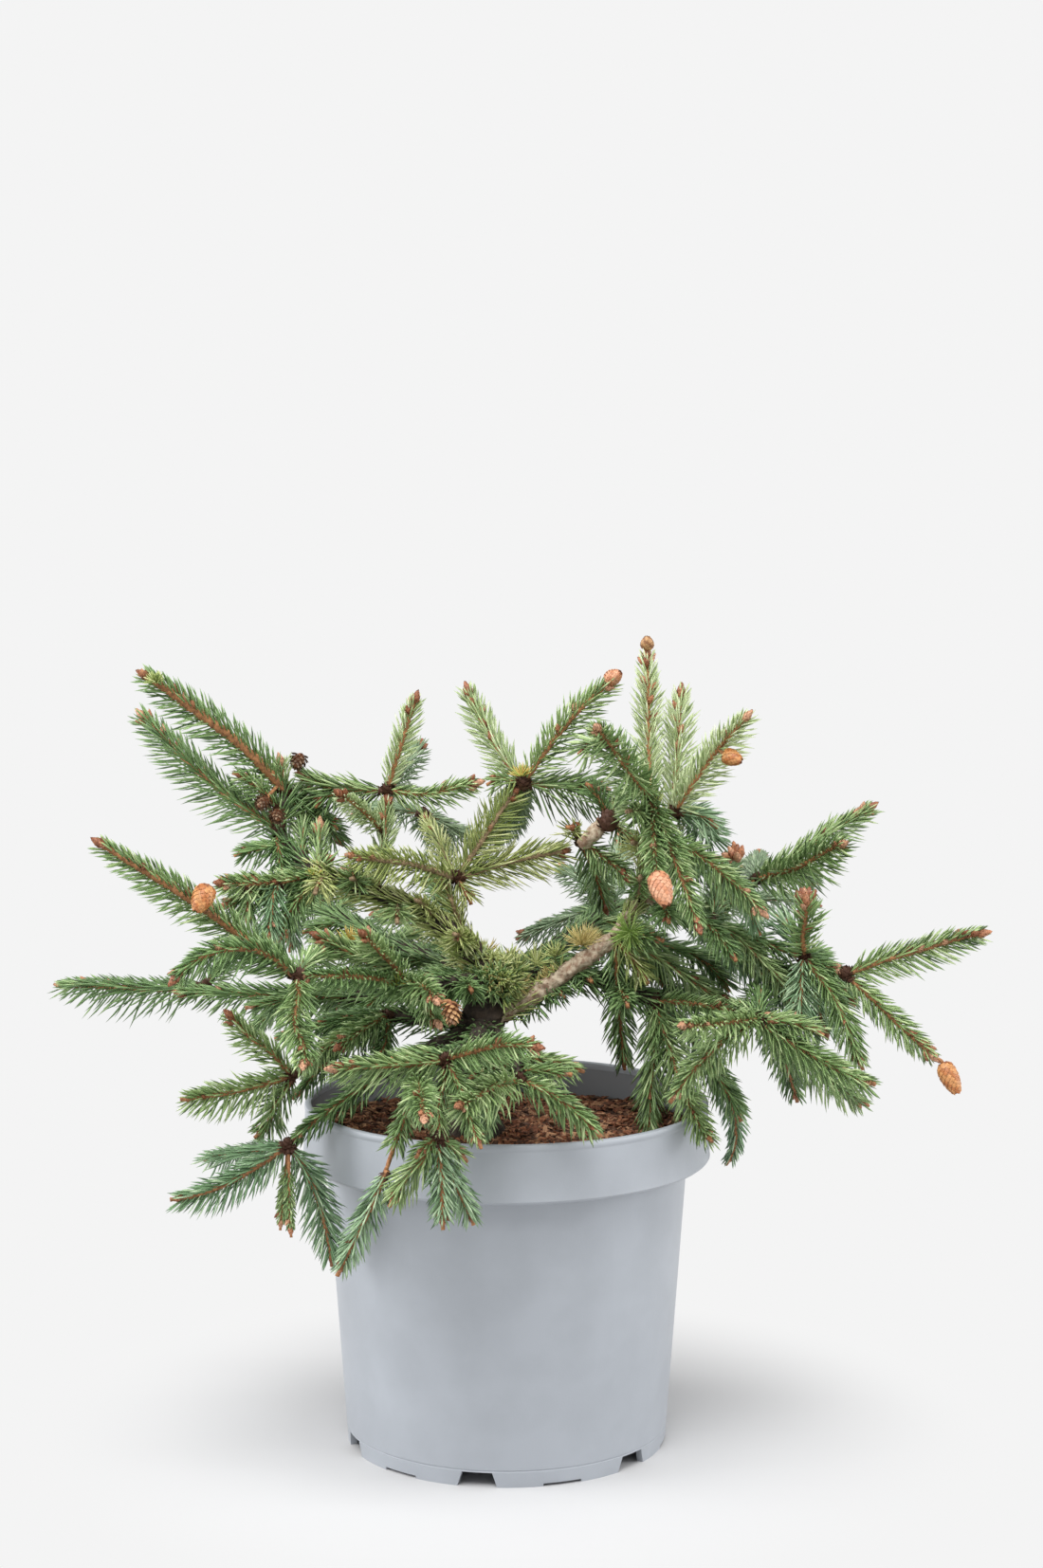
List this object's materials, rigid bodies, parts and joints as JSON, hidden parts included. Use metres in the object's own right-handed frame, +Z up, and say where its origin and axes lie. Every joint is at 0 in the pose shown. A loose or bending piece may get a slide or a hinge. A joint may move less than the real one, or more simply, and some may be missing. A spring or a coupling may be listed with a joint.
{
  "type": "potted weeping norway spruce",
  "caption": "Young Norway spruce in its round nursery pot: a short leaning trunk, low spreading boughs and drooping needled shoots, for a garden, patio or nursery bench.",
  "frame": {"origin": "on the ground in the middle of the plant's outline, which is also the pot's axis to within a few millimetres", "axes": "+X to the right along the crown's greatest spread, +Y to the back, +Z up; the pictured side faces -Y"},
  "size_m": [0.5655, 0.4471, 0.4856],
  "materials": {
    "pot": "smooth light grey plastic, faintly satin",
    "soil": "loose reddish-brown bark chips and peat",
    "bark": "rough, scaly brown-grey bark",
    "needles": "dense short needles with a faint waxy sheen"
  },
  "bodies": {
    "root": {"pot": "pot", "soil": "soil", "trunk": "bark", "bough_right": "bark", "bough_mid": "bark", "bough_left": "bark", "bough_left_front": "bark", "bough_left_far": "bark", "bough_back_right": "bark", "bough_back_left": "bark", "bough_back": "bark", "bough_front": "bark", "bough_right_low": "bark", "bough_left_low": "bark", "bough_left_drop": "bark", "bough_front_right": "bark", "bough_right_top": "bark", "bough_right_arm": "bark", "bough_left_top": "bark", "foliage_right_far_high": "needles", "foliage_right_far_low": "needles", "foliage_left_far": "needles", "foliage_left_top": "needles", "foliage_left_upper": "needles", "foliage_left_front_long": "needles", "foliage_left_front": "needles", "foliage_left_arm": "needles", "foliage_top_left": "needles", "foliage_left_stem": "needles", "foliage_top_mid": "needles", "foliage_mid": "needles", "foliage_mid_arm": "needles", "foliage_back_knot": "needles", "foliage_top_mid_back": "needles", "foliage_right_top": "needles", "foliage_right_side": "needles", "foliage_right_hang": "needles", "foliage_right_crown": "needles", "foliage_right_arm": "needles", "foliage_right_high": "needles", "foliage_right_high_back": "needles", "foliage_right_fork": "needles", "foliage_right_low_far": "needles", "foliage_right_low_front": "needles", "foliage_right_low": "needles", "foliage_right_low_back": "needles", "foliage_right_shoulder": "needles", "foliage_back_right": "needles", "foliage_back_right_far": "needles", "foliage_back": "needles", "foliage_back_left": "needles", "foliage_back_left_low": "needles", "foliage_left_low": "needles", "foliage_left_drop_side": "needles", "foliage_left_drop": "needles", "foliage_front_high": "needles", "foliage_front_right": "needles", "foliage_front_drop": "needles", "foliage_front_hang": "needles", "foliage_inner_left": "needles"}
  },
  "joints": []
}
